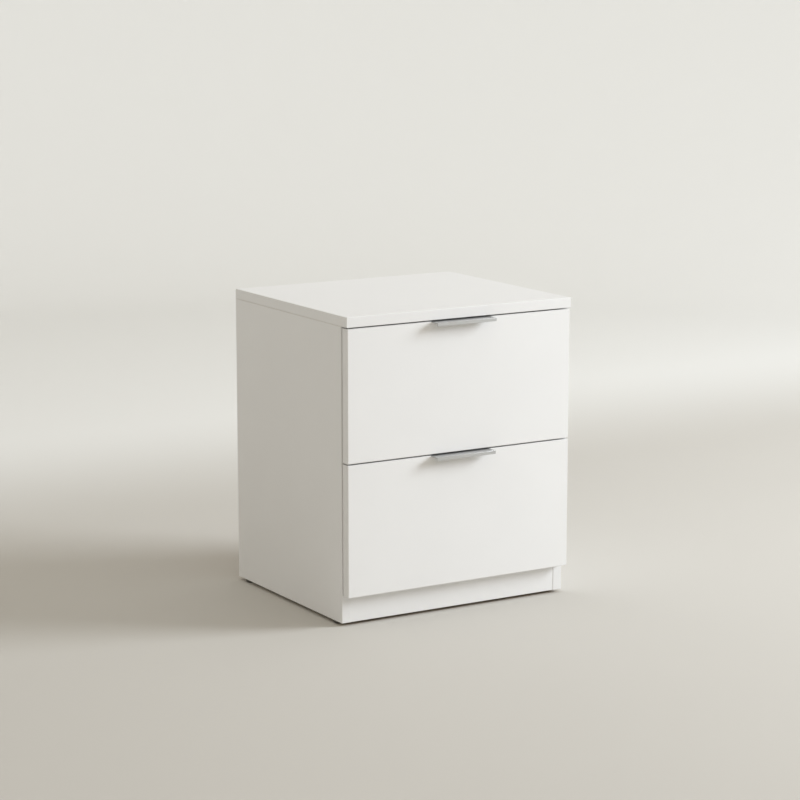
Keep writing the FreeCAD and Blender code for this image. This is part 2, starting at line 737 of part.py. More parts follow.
def make_case(doc, levels):
    boards = make_case_boards(doc)
    groove_case(boards)
    joinery = join_case(boards)
    nodes = [nail_back(doc, boards)] + make_glides(doc, boards)
    nodes.append(edge_bands(doc, "top_edge_bands", ("case_left", "top_front", "top_under"),
                            ("case_width", "case_depth", "board"), 2))
    nodes.append(case_bands(doc))
    screws = []
    axles = []
    for level, low in levels:
        rails, rail_screws, rail_axles = make_case_rails(doc, boards, level, low)
        nodes += rails + make_case_rollers(doc, level, low)
        screws += rail_screws
        axles += rail_axles
    rail_screw = screw(doc, "case_rail_screw_pattern", "case_screw_radius", "case_screw_length",
                       "case_screw_head_radius", "case_screw_head")
    nodes.append(copies(doc, rail_screw, "case_rail_screws", screws))
    nodes.append(copies(doc, axle(doc, "case_axle_pattern", "case_roller_off"),
                        "case_rail_axles", axles))
    nodes.append(copies(doc, cam(doc, "case_cam_pattern", "case_cam_length", "board"),
                        "case_cams", joinery.cams))
    nodes.append(copies(doc, doc.cam_bolt_pattern, "case_cam_bolts", joinery.bolts))
    nodes.append(copies(doc, doc.dowel_pattern, "case_dowels", joinery.dowels))
    return nodes + [board.body for board in boards.values()]


def make_handle(doc, level, low):
    """An edge pull: a flange behind the front, a plate over its edge and a lip turned down."""
    high = f"{low} + front_height"
    body = new_body(doc, "handle_" + level, ("-handle_length / 2", "top_front - handle_reach", high))
    reach = "handle_reach + front_setback + board"
    outline = [("0", "-handle_lip"), ("0", "0"), (f"{reach} + handle_sheet", "0"),
               (f"{reach} + handle_sheet", "-handle_flange"), (reach, "-handle_flange"),
               (reach, "-handle_sheet"), ("handle_sheet", "-handle_sheet"),
               ("handle_sheet", "-handle_lip")]
    section = add_sketch(body, "YZ_Plane")
    draw_outline(section, outline)
    pad = add_pad(body, section, "handle_length")
    doc.recompute()
    high_side = pad.Shape.BoundBox.ZMax
    bends = edge_names(pad.Shape, lambda edge: runs_along(edge, 0)
                       and abs(edge.CenterOfMass.z - high_side) < 1e-6)
    fillet = body.newObject("PartDesign::Fillet", "handle_bends")
    fillet.Base = (pad, bends)
    bind(fillet, "Radius", "handle_bend")
    holes = [("handle_length / 2 - handle_screw_step / 2", "-handle_screw_drop"),
             ("handle_length / 2 + handle_screw_step / 2", "-handle_screw_drop")]
    rail_holes(body, "XZ_Plane", holes, "wood_screw_radius", "handle_sheet",
               f"-({reach} + handle_sheet)", True)
    return body


def make_drawer_boards(doc, level, low):
    box_low = f"{low} + box_rise"
    side_size = ("drawer_board", "box_depth", "box_height")
    base_top = f"{box_low} + base_rise + base_thickness"
    return {
        "front": Board(
            doc, "drawer_front_" + level,
            ("-front_width / 2 + band", "front_face", f"{low} + band"),
            ("front_width - 2 * band", "board", "front_height - 2 * band")),
        "left": Board(doc, "drawer_side_left_" + level, ("box_left", "front_rear", box_low), side_size),
        "right": Board(doc, "drawer_side_right_" + level,
                       ("box_right - drawer_board", "front_rear", box_low), side_size),
        "back": Board(
            doc, "drawer_back_" + level,
            ("box_left + drawer_board", "box_rear - drawer_board", base_top),
            ("box_inner", "drawer_board", "back_board_height")),
        "base": Board(
            doc, "drawer_base_" + level,
            ("box_left + drawer_board - base_groove + groove_slack",
             "front_rear - base_groove + groove_slack", f"{box_low} + base_rise"),
            ("box_inner + 2 * base_groove - 2 * groove_slack",
             "box_depth + base_groove - groove_slack", "base_thickness")),
    }


def groove_drawer(boards, low):
    """Grooves for the base in both sides and in the front."""
    level = f"{low} + box_rise + base_rise"
    height = "base_thickness + groove_slack"
    for hand, face in (("left", "right"), ("right", "left")):
        boards[hand].slot(face, ("0", "front_rear", level), "box_depth", height, "base_groove")
    start = ("box_left + drawer_board - base_groove", "0", level)
    boards["front"].slot("rear", start, "box_inner + 2 * base_groove", height, "base_groove")


def join_drawer(boards, low):
    """Cam and dowel joints of the drawer front with the two sides."""
    joinery = Joinery()
    middle_level = f"{low} + box_rise + box_height / 2"
    for hand, middle in (("left", "box_left + drawer_board / 2"),
                         ("right", "box_right - drawer_board / 2")):
        joinery.cam_joint(boards["front"], "rear", boards[hand], "front",
                          [(middle, "front_rear", middle_level)], "rear", hand,
                          "drawer_cam_length", "drawer_board")
        points = [(middle, "front_rear", f"{low} + box_rise + box_dowel_rise"),
                  (middle, "front_rear", f"{low} + box_rise + box_height - box_dowel_rise")]
        joinery.dowel_joint(boards["front"], "rear", boards[hand], "front", points, "rear")
    return joinery


def screw_back(boards, low):
    """Bores for the screws through the drawer sides into the back, and their places."""
    places = []
    depth = "box_rear - drawer_board / 2"
    base_top = f"{low} + box_rise + base_rise + base_thickness"
    for hand, outer in (("left", "box_left"), ("right", "box_right")):
        points = [(outer, depth, f"{base_top} + box_screw_inset"),
                  (outer, depth, f"{base_top} + back_board_height - box_screw_inset")]
        boards[hand].bore(hand, points, "wood_screw_head_radius", "box_screw_head")
        boards[hand].bore(hand, points, "wood_screw_radius", "drawer_board")
        boards["back"].bore(hand, points, "wood_screw_radius",
                            "box_screw_head + box_screw_length - drawer_board")
        inward = {"left": "right", "right": "left"}[hand]
        for point in points:
            seat = shifted(point, AXIS[inward], "box_screw_head")
            places.append((seat, facing(AXIS[hand])))
    return places


def screw_handle(boards, low):
    """Bores for the handle's screws in the front's rear face, and their places."""
    level = f"{low} + front_height - handle_screw_drop"
    points = [("-handle_screw_step / 2", "front_rear", level),
              ("handle_screw_step / 2", "front_rear", level)]
    boards["front"].bore("rear", points, "wood_screw_radius", "handle_screw_length - handle_sheet")
    return [(shifted(point, AXIS["rear"], "handle_sheet"), facing(AXIS["rear"])) for point in points]


def make_drawer_rails(doc, boards, level, low):
    """The two rails under a drawer, with the places of their screws and axles."""
    rails = []
    screws = []
    axles = []
    box_low = f"{low} + box_rise"
    web = "runner_gap - sheet"
    under = "runner_gap + drawer_board"
    profile = [(web, "-sheet"), (under, "-sheet"), (under, "0"), ("runner_gap", "0"),
               ("runner_gap", "track_level + sheet"), ("track_tip", "track_level + sheet"),
               ("track_tip", "track_level"), (web, "track_level")]
    length = "box_depth - rail_setback"
    track_end = "drawer_roller_depth - drawer_roller_radius - 1 - front_rear - rail_setback"
    for hand, wall in (("left", "inner_left"), ("right", "inner_right")):
        sign = HANDS[hand]
        mirror = {1: "", -1: "-"}[sign]
        body = new_body(doc, f"drawer_rail_{hand}_{level}",
                        (wall, "front_rear + rail_setback", box_low))
        section = add_sketch(body, "XZ_Plane")
        draw_outline(section, mirrored(profile, sign))
        add_pad(body, section, length, True)
        cut = add_sketch(body, "XY_Plane", "track_level + sheet")
        edge = [("track_tip", track_end), (web, track_end), (web, length), ("track_tip", length)]
        draw_outline(cut, mirrored(edge, sign))
        add_pocket(body, cut, "sheet", False)
        rows = ("rail_screw_first", "box_depth - rail_screw_last")
        across = "runner_gap + drawer_board / 4"
        holes = [(f"{mirror}({across})", f"{row} - rail_setback") for row in rows]
        rail_holes(body, "XY_Plane", holes, "wood_screw_radius", "sheet", "-sheet", True)
        pin = [("drawer_roller_depth - front_rear - rail_setback", "drawer_roller_rise")]
        rail_holes(body, "YZ_Plane", pin, "axle_radius", "sheet", f"{mirror}(runner_gap)",
                   hand == "right")
        side_screws = [(f"{wall} + {mirror}({across})", f"front_rear + {row}", box_low) for row in rows]
        boards[hand].bore("underside", side_screws, "wood_screw_radius",
                          "rail_wood_screw_length - sheet")
        for point in side_screws:
            screws.append((shifted(point, AXIS["underside"], "sheet"), facing(AXIS["underside"])))
        axle_foot = (f"{wall} + {mirror}(runner_gap)", "drawer_roller_depth",
                     f"{box_low} + drawer_roller_rise")
        axles.append((axle_foot, facing(AXIS[hand])))
        rails.append(body)
    return rails, screws, axles


def make_drawer_rollers(doc, level, low):
    rollers = []
    for hand, start in (("left", "box_left - drawer_roller_off - roller_width"),
                        ("right", "box_right + drawer_roller_off")):
        place = (start, "drawer_roller_depth", f"{low} + box_rise + drawer_roller_rise")
        rollers.append(roller(doc, f"drawer_roller_{hand}_{level}", place, "drawer_roller_radius"))
    return rollers


def make_drawer(doc, level, low):
    boards = make_drawer_boards(doc, level, low)
    groove_drawer(boards, low)
    joinery = join_drawer(boards, low)
    back_screws = screw_back(boards, low)
    handle_screws = screw_handle(boards, low)
    notch_low = ("-handle_length / 2 - handle_slack", "front_face",
                 f"{low} + front_height - handle_sheet")
    notch_size = ("handle_length + 2 * handle_slack", "board", "handle_sheet")
    boards["front"].slot("front", notch_low, notch_size[0], notch_size[2], "board")
    rails, rail_screws, axles = make_drawer_rails(doc, boards, level, low)
    nodes = rails + make_drawer_rollers(doc, level, low) + [make_handle(doc, level, low)]
    nodes.append(edge_bands(doc, "front_edge_bands_" + level, ("-front_width / 2", "front_face", low),
                            ("front_width", "board", "front_height"), 1, (notch_low, notch_size)))
    for label, pattern, places in (
            ("drawer_cams_", doc.drawer_cam_pattern, joinery.cams),
            ("drawer_cam_bolts_", doc.cam_bolt_pattern, joinery.bolts),
            ("drawer_dowels_", doc.dowel_pattern, joinery.dowels),
            ("drawer_back_screws_", doc.box_screw_pattern, back_screws),
            ("handle_screws_", doc.handle_screw_pattern, handle_screws),
            ("drawer_rail_screws_", doc.rail_screw_pattern, rail_screws),
            ("drawer_rail_axles_", doc.drawer_axle_pattern, axles)):
        nodes.append(copies(doc, pattern, label + level, places))
    return nodes + [board.body for board in boards.values()]


def make_patterns(doc):
    """The fasteners that are copied in more than one place."""
    dowel(doc)
    cam_bolt(doc)
    cam(doc, "drawer_cam_pattern", "drawer_cam_length", "drawer_board")
    screw(doc, "box_screw_pattern", "wood_screw_radius", "box_screw_length",
          "wood_screw_head_radius", "box_screw_head")
    screw(doc, "handle_screw_pattern", "wood_screw_radius", "handle_screw_length",
          "wood_screw_head_radius", "handle_screw_head")
    screw(doc, "rail_screw_pattern", "wood_screw_radius", "rail_wood_screw_length",
          "wood_screw_head_radius", "rail_wood_screw_head")
    axle(doc, "drawer_axle_pattern", "drawer_roller_off")


def check(doc, nodes):
    """Stop if anything failed, if a cut removed nothing or if a piece is not sound."""
    for item in doc.Objects:
        if "Invalid" in item.State or "Error" in item.State:
            raise RuntimeError(f"{item.Label} failed: {item.State}")
        if item.TypeId == "PartDesign::Pocket":
            if item.BaseFeature.Shape.Volume - item.Shape.Volume < 1e-3:
                raise RuntimeError(f"{item.Label} cuts nothing")
    for node in nodes:
        if node.Shape.isNull() or not node.Shape.isValid():
            raise RuntimeError(f"{node.Label} has no sound shape")
        if node.TypeId == "PartDesign::Body" and len(node.Shape.Solids) != 1:
            raise RuntimeError(f"{node.Label} came apart")


def main():
    doc = FreeCAD.newDocument("nightstand")
    make_sheet(doc)
    make_patterns(doc)
    levels = (("lower", "front_bottom"), ("upper", "upper_low"))
    nodes = make_case(doc, levels)
    for level, low in levels:
        nodes += make_drawer(doc, level, low)
    doc.recompute()
    check(doc, nodes)
    os.makedirs("parts", exist_ok=True)
    for node in nodes:
        node.Shape.exportStep(f"parts/{node.Label}.step")
    print(len(nodes), "sub-parts")


main()
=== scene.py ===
import contextlib
import math

import bmesh
import bpy
import numpy as np
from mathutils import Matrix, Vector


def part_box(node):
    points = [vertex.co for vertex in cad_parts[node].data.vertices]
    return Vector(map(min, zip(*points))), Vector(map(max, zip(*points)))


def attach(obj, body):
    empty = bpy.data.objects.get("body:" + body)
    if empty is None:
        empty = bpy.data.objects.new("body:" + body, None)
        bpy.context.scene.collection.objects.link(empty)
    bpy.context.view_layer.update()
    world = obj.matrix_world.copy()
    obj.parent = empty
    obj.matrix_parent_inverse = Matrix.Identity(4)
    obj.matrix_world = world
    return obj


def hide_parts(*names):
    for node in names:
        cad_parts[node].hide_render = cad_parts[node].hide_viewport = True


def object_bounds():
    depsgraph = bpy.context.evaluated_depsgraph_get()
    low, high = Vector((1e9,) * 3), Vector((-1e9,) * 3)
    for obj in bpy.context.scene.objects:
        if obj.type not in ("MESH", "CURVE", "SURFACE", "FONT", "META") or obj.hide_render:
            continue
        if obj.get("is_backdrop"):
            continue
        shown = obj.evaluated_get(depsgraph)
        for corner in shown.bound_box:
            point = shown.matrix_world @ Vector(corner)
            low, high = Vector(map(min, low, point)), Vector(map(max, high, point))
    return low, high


bl_info = {
    "name": "Two-drawer nightstand",
    "version": (1, 0, 0),
    "blender": (4, 5, 0),
    "location": "3D View > Sidebar > Nightstand",
    "description": "Finishes, edge pulls, runners and studio of a white nightstand",
    "category": "Object",
}

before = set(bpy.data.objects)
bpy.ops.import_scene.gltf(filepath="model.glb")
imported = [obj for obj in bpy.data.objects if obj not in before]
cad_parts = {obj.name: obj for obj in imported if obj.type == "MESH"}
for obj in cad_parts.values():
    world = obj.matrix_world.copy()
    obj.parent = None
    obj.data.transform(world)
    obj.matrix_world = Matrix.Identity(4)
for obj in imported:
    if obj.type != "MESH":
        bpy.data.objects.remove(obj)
MM = 0.001
HANDS = ("left", "right")
LEVELS = ("lower", "upper")


def linear(hex_colour):
    """An sRGB hex colour as linear red, green and blue."""
    channels = np.array([int(hex_colour[i : i + 2], 16) for i in (1, 3, 5)]) / 255
    low, high = channels / 12.92, ((channels + 0.055) / 1.055) ** 2.4
    return tuple(np.where(channels <= 0.04045, low, high).tolist())


def colour_choice(name, description, hex_colour):
    return bpy.props.FloatVectorProperty(
        name=name, description=description, default=linear(hex_colour), subtype="COLOR",
        size=3, min=0, max=1)


def length_choice(name, description, millimetres):
    return bpy.props.FloatProperty(
        name=name, description=description, default=millimetres * MM, min=0,
        subtype="DISTANCE", unit="LENGTH", precision=5)


def share_choice(name, description, share):
    return bpy.props.FloatProperty(
        name=name, description=description, default=share, min=0, max=1, subtype="FACTOR")


class NightstandBoards(bpy.types.PropertyGroup):
    """Colours and textures of the boards, their bands and their cores."""

    white: colour_choice("Melamine", "White of the pressed faces", "#ebebeb")
    band: colour_choice("Edge band", "White of the glued bands", "#e9e9e9")
    glue: colour_choice("Glue line", "Hairline between a board and its band", "#c9c5bb")
    chip_light: colour_choice("Light chips", "Lightest chips of a raw board edge", "#d3bd98")
    chip_dark: colour_choice("Dark chips", "Darkest chips of a raw board edge", "#a4865e")
    fibre: colour_choice("Hardboard", "Bare side of the hardboard", "#9d7d58")
    beech: colour_choice("Beech", "Wood of the dowels", "#cda877")
    coat: length_choice("Coat", "Thickness of the pressed paper on each face", 0.15)
    glue_depth: length_choice("Glue depth", "Outer face of a band to its glue line", 0.88)
    # Real dimples stand about 0.8 mm apart.  They are drawn coarser, so that they show.
    pearl: length_choice("Pearl texture", "Distance between the pressed dimples", 1.4)
    pearl_depth: length_choice("Pearl depth", "Depth of the pressed dimples", 0.012)
    chip: length_choice("Chip", "Length of a wood chip", 2.2)
    screen: length_choice("Screen", "Pitch of the screen marks in bare hardboard", 1.6)
    satin: share_choice("Satin", "Roughness of the pressed faces", 0.42)


class NightstandFittings(bpy.types.PropertyGroup):
    """Colours and sizes of the metal and plastic parts."""

    aluminium: colour_choice("Aluminium", "Anodised edge pulls", "#c9caca")
    enamel: colour_choice("Runner enamel", "Powder coat of the runners", "#e6e6e3")
    zinc: colour_choice("Zinc plate", "Screws, nails, bolts and axles", "#c3c6c9")
    cast: colour_choice("Die-cast zinc", "Cams", "#a5a7a8")
    nylon: colour_choice("Nylon", "Runner rollers", "#dcdad2")
    glide: colour_choice("Glide plastic", "Nail-on floor glides", "#5c5a57")
    pull_sheet: length_choice("Pull thickness", "Thickness of the edge pull", 1.5)
    pull_lip: length_choice("Pull lip", "Height of the turned-down lip", 5)
    ease: length_choice("Eased edge", "Width of the rounding on cut metal edges", 0.2)
    roller_bore: length_choice("Roller bore", "Radius of the hole round the axle", 2.55)
    roller_hub: length_choice("Roller hub", "Wall of the hub round the bore", 1.1)
    roller_rim: length_choice("Roller rim", "Wall of the rim under the tread", 1.7)
    roller_dish: length_choice("Roller dish", "Depth of the dish between hub and rim", 0.9)
    # Real brush marks stand about 0.1 mm apart.  They are drawn coarser, so that they show.
    brushing: length_choice("Brushing", "Distance between brush marks", 0.35)
    peel: length_choice("Orange peel", "Distance between waves in the powder coat", 1.8)


class NightstandStudio(bpy.types.PropertyGroup):
    """Camera, lamps and surroundings."""

    floor: colour_choice("Floor", "Plain floor", "#cbc8c2")
    wall: colour_choice("Backdrop", "Backdrop that the floor runs into", "#ececea")
    near: length_choice("Fade start", "How far back or up the floor's colour starts to fade", 600)
    far: length_choice("Fade end", "How far back or up the backdrop's colour is reached", 1400)
    room: length_choice("Floor radius", "Flat floor round the cabinet", 2900)
    sweep: length_choice("Sweep", "Radius of the curve from floor to wall", 900)
    wall_top: length_choice("Wall height", "Height of the wall behind the floor", 3900)
    sky: colour_choice("Fill light", "Soft light from all round", "#fbf2e2")
    day: colour_choice("Key light", "Cool light of the lamps", "#ebf1f8")
    fill: bpy.props.FloatProperty(
        name="Fill strength", description="Strength of the light from all round",
        default=0.575, min=0)
    key: bpy.props.FloatProperty(
        name="Key lamp", description="Power of the soft box", default=174, min=0, unit="POWER")
    overhead: bpy.props.FloatProperty(
        name="Overhead lamp", description="Power of the panel above", default=9, min=0,
        unit="POWER")
    panel: length_choice("Overhead panel", "Width of the panel above", 2400)
    panel_height: length_choice("Panel height", "Overhead panel above the floor", 3000)
    box: length_choice("Soft box", "Width of the soft box", 1800)
    reach: length_choice("Soft box distance", "Soft box from the cabinet's middle", 4000)
    key_heading: bpy.props.FloatProperty(
        name="Soft box heading", description="Turned from the front towards the right side",
        default=math.radians(60), subtype="ANGLE", unit="ROTATION")
    key_height: bpy.props.FloatProperty(
        name="Soft box height", description="Angle above the floor",
        default=math.radians(24), subtype="ANGLE", unit="ROTATION")
    camera: bpy.props.FloatVectorProperty(
        name="Camera", description="Where the camera stands", size=3,
        default=(-1.9392, -3.2056, 0.9888), subtype="TRANSLATION", unit="LENGTH")
    heading: bpy.props.FloatProperty(
        name="Heading", description="Camera turned from the back wall towards the right",
        default=math.radians(31.08), subtype="ANGLE", unit="ROTATION")
    tilt: bpy.props.FloatProperty(
        name="Tilt", description="Camera turned down", default=math.radians(10.575),
        subtype="ANGLE", unit="ROTATION")
    lens: bpy.props.FloatProperty(
        name="Lens", description="Focal length", default=114.65, min=1, subtype="DISTANCE_CAMERA",
        unit="CAMERA")


# Materials


def add_node(tree, kind, inputs, output=0, **settings):
    """Add a node with its settings, and fill its inputs with numbers, colours or links.

    It gives back one of the node's outputs, if the node has any.
    """
    node = tree.nodes.new("ShaderNode" + kind)
    for name, value in settings.items():
        setattr(node, name, value)
    for name, value in inputs.items():
        socket = node.inputs[name]
        if isinstance(value, bpy.types.NodeSocket):
            tree.links.new(value, socket)
        elif socket.type == "RGBA":
            socket.default_value = (*value, 1)
        else:
            socket.default_value = value
    return node.outputs[output] if node.outputs else None


def new_material(name):
    """A material, its empty tree, and the piece's own coordinates in metres."""
    material = bpy.data.materials.new(name)
    material.use_nodes = True
    material.node_tree.nodes.clear()
    return material, material.node_tree, add_node(material.node_tree, "TexCoord", {}, "Object")


def finish(tree, colour, rough, height, depth, constants):
    """Give the surface a colour, a roughness, and dents where a pattern is low.

    The dents are depth metres deep where the pattern goes from 1 to 0.  The constants hold all
    over the surface, and are set on the shader's own sockets.
    """
    dents = add_node(tree, "Bump", {"Height": height, "Distance": depth})
    surface = add_node(tree, "BsdfPrincipled", {
        "Base Color": colour, "Roughness": rough, "Normal": dents, **constants})
    add_node(tree, "OutputMaterial", {"Surface": surface})


def waves(tree, places, pitch, detail=2.0, stretch=(1, 1, 1)):
    """Soft random waves from 0 to 1, pitch metres apart, and longer along a stretched axis."""
    scale = tuple(1 / (pitch * longer) for longer in stretch)
    scaled = add_node(tree, "Mapping", {"Vector": places, "Scale": scale})
    return add_node(tree, "TexNoise", {"Vector": scaled, "Scale": 1.0, "Detail": detail}, "Fac")


def clouded(tree, pattern, colour, darkest):
    """The colour, with darkest of its light left where the pattern is low."""
    shade = tuple(np.multiply(colour, darkest).tolist())
    return add_node(tree, "Mix", {0: pattern, 6: shade, 7: colour}, 2, data_type="RGBA")


def worn(tree, pattern, colour, darkest, rough):
    """A colour that a pattern clouds, and a roughness that it spreads between two values."""
    low, high = rough
    spread = add_node(tree, "MapRange", {"Value": pattern, "To Min": low, "To Max": high})
    return clouded(tree, pattern, colour, darkest), spread


def layered(tree, mask, under, over):
    """Two finishes of colour, roughness and height: over where the mask is 1, under where 0."""
    colour = add_node(tree, "Mix", {0: mask, 6: under[0], 7: over[0]}, 2, data_type="RGBA")
    rough, height = (add_node(tree, "Mix", {0: mask, 2: below, 3: above}, data_type="FLOAT")
                     for below, above in zip(under[1:], over[1:]))
    return colour, rough, height


def below_faces(tree, places, node, axes):
    """Depth in metres below the nearest of a node's outer faces that lie across some axes.

    Across one axis it is half the node's width less the distance from its middle.
    """
    low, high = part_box(node)
    depths = []
    for axis in axes:
        middle, half = (low[axis] + high[axis]) / 2, (high[axis] - low[axis]) / 2
        place = add_node(tree, "SeparateXYZ", {"Vector": places}, axis)
        off = add_node(tree, "Math", {0: place, 1: middle}, operation="SUBTRACT")
        off = add_node(tree, "Math", {0: off}, operation="ABSOLUTE")
        depths.append(add_node(tree, "Math", {0: half, 1: off}, operation="SUBTRACT"))
    least = depths[0]
    for depth in depths[1:]:
        least = add_node(tree, "Math", {0: least, 1: depth}, operation="MINIMUM")
    return least


def chipboard(tree, places, node, boards):
    """Colour, roughness and height of raw chipboard: flat chips, each of its own brown.

    They lie along the board and are about half as wide as they are long.  A chip stands twelve
    times as proud as a dimple of the pressed face is deep.
    """
    size = np.ptp(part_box(node), axis=0)
    narrow, sawn, proud = 0.45, 0.88, 12.0
    stretch = np.where(size == size.max(), 1, narrow)
    scale = tuple((1 / (boards.chip * stretch)).tolist())
    scaled = add_node(tree, "Mapping", {"Vector": places, "Scale": scale})
    chips = add_node(tree, "TexVoronoi", {"Vector": scaled, "Scale": 1.0}, "Color")
    own = add_node(tree, "SeparateColor", {"Color": chips})
    brown = add_node(tree, "Mix", {0: own, 6: boards.chip_dark, 7: boards.chip_light}, 2,
                     data_type="RGBA")
    off_centre = chips.node.outputs["Distance"]
    return brown, sawn, add_node(tree, "Math", {0: off_centre, 1: proud}, operation="MULTIPLY")


def coated_board(name, node, boards, wrapped=False):
    """Melamine paper hot-pressed on chipboard against a steel plate with a pearl texture.

    The faces are an even satin white, with a highlight that is soft at its edges.  Past the
    paper's thickness every edge, bore and groove shows the bare chips.  On a wrapped board the
    coat goes round the upper and lower edges too.
    """
    material, tree, places = new_material(name)
    thin = int(np.argmin(np.ptp(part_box(node), axis=0)))
    depth = below_faces(tree, places, node, (thin, 2) if wrapped else (thin,))
    covered = add_node(tree, "Math", {0: depth, 1: boards.coat}, operation="LESS_THAN")
    cloud = waves(tree, places, pitch=90 * MM, detail=3.0)
    satin = (boards.satin - 0.03, boards.satin + 0.05)
    paper = worn(tree, cloud, boards.white, darkest=0.965, rough=satin)
    pearl = waves(tree, places, boards.pearl, detail=1.0)
    raw = chipboard(tree, places, node, boards)
    finish(tree, *layered(tree, covered, raw, (*paper, pearl)), boards.pearl_depth, {"IOR": 1.5})
    return material


def edge_band(name, boards, node, across):
    """ABS strip, extruded, glued on and trimmed, with a roller-embossed satin face.

    It is a touch smoother than the faces, and the glue shows as a hairline along its inner
    edge.
    """
    material, tree, places = new_material(name)
    cloud = waves(tree, places, pitch=60 * MM)
    strip, rough = worn(tree, cloud, boards.band, darkest=0.97, rough=(0.34, 0.42))
    depth = below_faces(tree, places, node, across)
    glued = add_node(tree, "Math", {0: depth, 1: boards.glue_depth}, operation="GREATER_THAN")
    colour = add_node(tree, "Mix", {0: glued, 6: strip, 7: boards.glue}, 2, data_type="RGBA")
    embossing = waves(tree, places, 0.9 * boards.pearl, detail=1.0)
    finish(tree, colour, rough, embossing, 0.8 * boards.pearl_depth, {"IOR": 1.54})
    return material


def hardboard(name, boards, axis, painted):
    """Wood fibre pressed hot on a wire screen, with the face at painted on the axis white.

    The bare side is brown and felted.  It keeps the screen's fine net of dents, which is the
    product of a sine each way.
    """
    material, tree, places = new_material(name)
    apart = [add_node(tree, "SeparateXYZ", {"Vector": places}, other) for other in range(3)]
    paint_depth = 0.1 * MM
    white = add_node(tree, "Math", {0: apart[axis], 1: painted, 2: paint_depth},
                     operation="COMPARE")
    felt = clouded(tree, waves(tree, places, pitch=4 * MM, detail=6.0), boards.fibre, darkest=0.72)
    coat = clouded(tree, waves(tree, places, pitch=80 * MM), boards.white, darkest=0.96)
    wires = []
    for along in (other for other in range(3) if other != axis):
        turn = add_node(tree, "Math", {0: apart[along], 1: 2 * math.pi / boards.screen},
                        operation="MULTIPLY")
        wires.append(add_node(tree, "Math", {0: turn}, operation="SINE"))
    net = add_node(tree, "Math", dict(enumerate(wires)), operation="MULTIPLY")
    # The net's dents are a few times as deep as the paint's low waves.
    dents = add_node(tree, "MapRange", {"Value": net, "To Min": 2.5, "To Max": 5.0})
    low_waves = waves(tree, places, 3 * boards.pearl, detail=1.0)
    finish(tree, *layered(tree, white, (felt, 0.82, dents), (coat, 0.45, low_waves)),
           boards.pearl_depth, {"IOR": 1.5})
    return material


def anodised_aluminium(fittings):
    """Rolled aluminium strip, brushed along its length, bent, and anodised in its own colour.

    The brushing spreads highlights across the strip, and the oxide keeps it grey and soft.
    """
    material, tree, places = new_material("anodised_brushed_aluminium")
    marks = waves(tree, places, fittings.brushing, stretch=(90, 1, 1))
    cloud = waves(tree, places, pitch=20 * MM)
    both = add_node(tree, "Math", {0: marks, 1: cloud}, operation="MULTIPLY")
    rough = add_node(tree, "MapRange", {"Value": both, "To Min": 0.34, "To Max": 0.6})
    grey = clouded(tree, marks, fittings.aluminium, darkest=0.9)
    finish(tree, grey, rough, marks, 0.01 * MM, {"Metallic": 1.0})
    return material


def powder_coated_steel(fittings):
    """Cold-rolled sheet steel under white epoxy powder, baked on.

    The powder flows into low, wide waves, so highlights wobble like orange peel.
    """
    material, tree, places = new_material("epoxy_powder_coated_steel")
    cloud = waves(tree, places, pitch=30 * MM)
    enamel = worn(tree, cloud, fittings.enamel, darkest=0.93, rough=(0.24, 0.36))
    peel = waves(tree, places, fittings.peel, detail=1.0)
    finish(tree, *enamel, peel, 0.03 * MM, {"IOR": 1.5})
    return material


def moulded_nylon(fittings):
    """Nylon 6, injection moulded: a waxy off-white that light enters a little way."""
    material, tree, places = new_material("injection_moulded_nylon")
    flow = waves(tree, places, pitch=5 * MM, detail=3.0)
    waxy = worn(tree, flow, fittings.nylon, darkest=0.9, rough=(0.3, 0.42))
    # The grain of a real mould is about a tenth of this.  It is drawn coarser, so that it shows.
    grain = waves(tree, places, pitch=0.7 * MM, detail=1.0)
    finish(tree, *waxy, grain, 0.01 * MM, {
        "IOR": 1.53, "Subsurface Weight": 0.12, "Subsurface Scale": 2 * MM})
    return material


def zinc_plated_steel(fittings):
    """Cold-headed steel, bright zinc plated: a blue-grey metal with a cloudy, scuffed gloss."""
    material, tree, places = new_material("zinc_plated_steel")
    cloud = waves(tree, places, pitch=1.5 * MM, detail=4.0)
    bluish = worn(tree, cloud, fittings.zinc, darkest=(0.8, 0.82, 0.86), rough=(0.22, 0.45))
    finish(tree, *bluish, waves(tree, places, pitch=0.4 * MM), 0.01 * MM, {"Metallic": 1.0})
    return material


def die_cast_zinc(fittings):
    """Zinc alloy, pressure cast and tumbled: dull grey, with the fine dimples of tumbling."""
    material, tree, places = new_material("die_cast_zinc")
    dimples = waves(tree, places, pitch=0.8 * MM, detail=3.0)
    dull = worn(tree, dimples, fittings.cast, darkest=0.82, rough=(0.42, 0.6))
    finish(tree, *dull, dimples, 0.03 * MM, {"Metallic": 1.0})
    return material


def turned_beech(name, boards, axis):
    """Beech dowel: pale pinkish wood with short dark rays along its length."""
    material, tree, places = new_material(name)
    stretch = [1, 1, 1]
    stretch[axis] = 12
    rays = waves(tree, places, pitch=0.7 * MM, detail=3.0, stretch=stretch)
    wood = worn(tree, rays, boards.beech, darkest=0.7, rough=(0.7, 0.55))
    finish(tree, *wood, rays, 0.05 * MM, {"IOR": 1.5})
    return material


def moulded_polyethylene(fittings):
    """Polyethylene glide, injection moulded: a dark, waxy plastic, scuffed by the floor."""
    material, tree, places = new_material("injection_moulded_polyethylene")
    scuffs = waves(tree, places, pitch=1.2 * MM, detail=4.0)
    dark = worn(tree, scuffs, fittings.glide, darkest=0.75, rough=(0.4, 0.62))
    finish(tree, *dark, scuffs, 0.02 * MM, {"IOR": 1.51})
    return material


